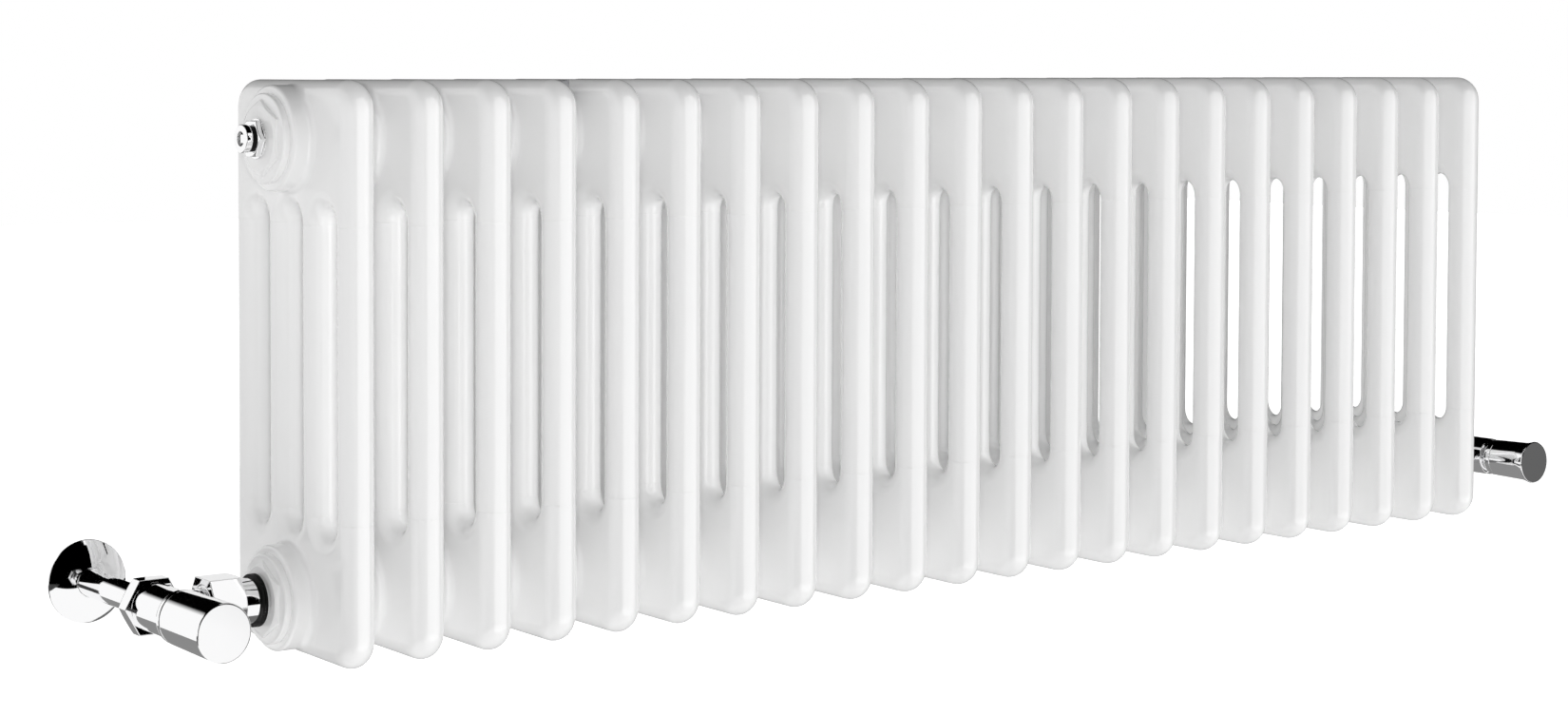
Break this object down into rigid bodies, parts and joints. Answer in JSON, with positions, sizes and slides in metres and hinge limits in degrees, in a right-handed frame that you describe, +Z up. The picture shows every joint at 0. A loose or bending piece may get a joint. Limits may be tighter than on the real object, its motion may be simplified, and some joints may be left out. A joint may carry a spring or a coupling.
{
  "type": "radiator with valve",
  "caption": "Low steel column radiator in white, with a chrome angle valve and lockshield at its lower corners, an air vent and wall brackets.",
  "frame": {"origin": "centre of the four wall screw holes, on the wall plane", "axes": "+X along the radiator, +Y into the wall, +Z up"},
  "size_m": [1.1698, 0.201, 0.3299],
  "materials": {
    "white_paint": "semi-gloss white powder coat",
    "white_bracket_paint": "satin white paint",
    "chrome": "polished chrome",
    "black_rubber": "matt black rubber",
    "brass": "machined brass",
    "zinc_steel": "bright zinc plate"
  },
  "bodies": {
    "radiator": {"blank_plug": "chrome", "bracket_hooks": "white_bracket_paint", "bush_gaskets": "black_rubber", "compression_nuts": "chrome", "end_bush_bottom_left": "white_paint", "end_bush_bottom_right": "white_paint", "end_bush_top_left": "white_paint", "end_bush_top_right": "white_paint", "hook_screws": "zinc_steel", "olives": "brass", "return_body": "chrome", "return_bonnet": "chrome", "return_pipe": "chrome", "return_tail": "brass", "rosettes": "chrome", "seal_rings": "black_rubber", "section_01": "white_paint", "section_02": "white_paint", "section_03": "white_paint", "section_04": "white_paint", "section_05": "white_paint", "section_06": "white_paint", "section_07": "white_paint", "section_08": "white_paint", "section_09": "white_paint", "section_10": "white_paint", "section_11": "white_paint", "section_12": "white_paint", "section_13": "white_paint", "section_14": "white_paint", "section_15": "white_paint", "section_16": "white_paint", "section_17": "white_paint", "section_18": "white_paint", "section_19": "white_paint", "section_20": "white_paint", "section_21": "white_paint", "section_22": "white_paint", "stem_rings": "black_rubber", "supply_body": "chrome", "supply_bonnet": "chrome", "supply_pipe": "chrome", "supply_tail": "brass", "tail_sleeves": "chrome", "union_nuts": "chrome", "union_washers": "black_rubber", "vent_body": "chrome", "vent_seal": "black_rubber", "wall_brackets": "white_bracket_paint"},
    "supply_knob": {"supply_knob": "chrome", "supply_spindle": "brass"},
    "supply_disc": {"supply_disc": "brass", "supply_disc_washer": "black_rubber"},
    "return_spindle": {"return_spindle": "brass"},
    "return_disc": {"return_disc": "brass", "return_disc_washer": "black_rubber"},
    "return_cap": {"return_cap": "chrome"},
    "vent_head": {"vent_head": "chrome"},
    "vent_pin": {"vent_pin": "zinc_steel"}
  },
  "joints": [
    {"name": "supply_knob_turn", "type": "hinge", "parent": "radiator", "child": "supply_knob", "pos_m": [-0.5605, -0.15, -0.13], "axis": [0, -1, 0], "range_deg": [0, 1080]},
    {"name": "supply_disc_lift", "type": "slide", "parent": "radiator", "child": "supply_disc", "axis": [0, -1, 0], "range_m": [0, 0.0045]},
    {"name": "return_spindle_turn", "type": "hinge", "parent": "radiator", "child": "return_spindle", "pos_m": [0.5605, -0.13, -0.13], "axis": [0, -1, 0], "range_deg": [0, 1080]},
    {"name": "return_disc_lift", "type": "slide", "parent": "radiator", "child": "return_disc", "axis": [0, -1, 0], "range_m": [0, 0.0045]},
    {"name": "return_cap_pull", "type": "slide", "parent": "radiator", "child": "return_cap", "axis": [0, -1, 0], "range_m": [0, 0.045]},
    {"name": "vent_pin_turn", "type": "hinge", "parent": "radiator", "child": "vent_pin", "pos_m": [-0.505, -0.1045, 0.13], "axis": [-1, 0, 0], "range_deg": [0, 360]},
    {"name": "vent_head_swivel", "type": "hinge", "parent": "radiator", "child": "vent_head", "pos_m": [-0.508, -0.1045, 0.13], "axis": [-1, 0, 0], "continuous": true}
  ],
  "couplings": [
    {"joint": "supply_disc_lift", "follows": "supply_knob_turn", "m_per_rad": 0.000238},
    {"joint": "return_disc_lift", "follows": "return_spindle_turn", "m_per_rad": 0.000238}
  ]
}
